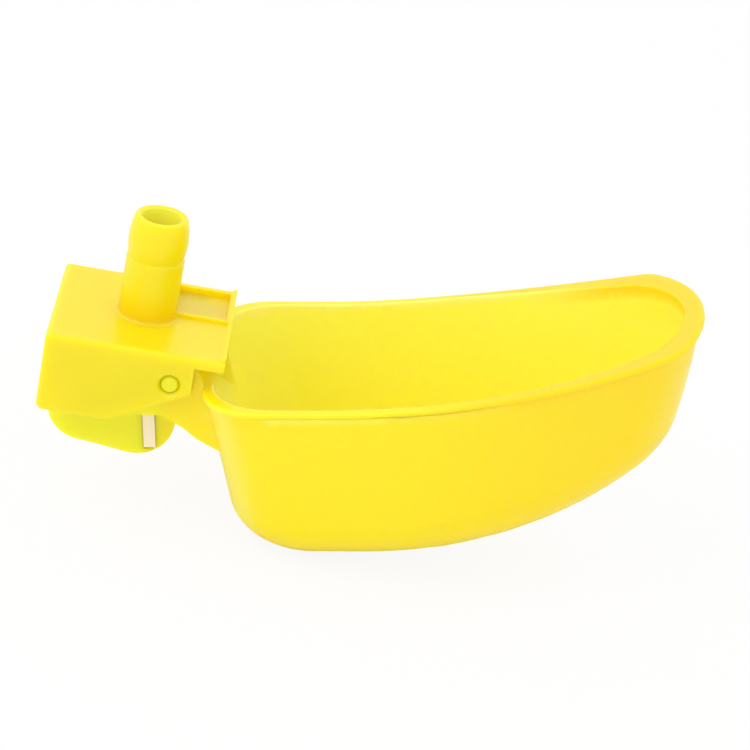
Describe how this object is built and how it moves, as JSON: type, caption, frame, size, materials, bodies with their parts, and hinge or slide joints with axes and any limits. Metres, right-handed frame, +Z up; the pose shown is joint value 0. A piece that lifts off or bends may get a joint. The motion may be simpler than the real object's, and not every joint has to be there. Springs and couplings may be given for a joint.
{
  "type": "poultry drinking cup",
  "caption": "Hanging poultry drinking cup: a boat-shaped cup with a raised tip, hinged in a valve housing with a barbed hose spigot on top.",
  "frame": {"origin": "on the hose spigot's axis, in the flat top face of the valve housing", "axes": "+Z up along the spigot, +X towards the cup's tip, +Y to the far side seen from the picture"},
  "size_m": [0.105, 0.0432, 0.0533],
  "materials": {
    "housing_plastic": "moulded, satin, slightly translucent yellow",
    "cup_plastic": "moulded, satin, slightly translucent yellow",
    "carrier_plastic": "natural nylon",
    "pad_rubber": "moulded rubber",
    "spring_steel": "drawn stainless wire"
  },
  "bodies": {
    "housing": {"valve_housing": "housing_plastic", "opening_spring": "spring_steel"},
    "cup": {"drinking_cup": "cup_plastic", "valve_carrier": "carrier_plastic", "valve_pad": "pad_rubber"}
  },
  "joints": [
    {"name": "cup_tilt", "type": "hinge", "parent": "housing", "child": "cup", "pos_m": [0.0059, 0, -0.0055], "axis": [0, 1, 0], "range_deg": [0, 10.5], "stiffness_Nm_per_rad": 0.01, "springref_deg": -51.57, "deforming": ["opening_spring"]}
  ]
}
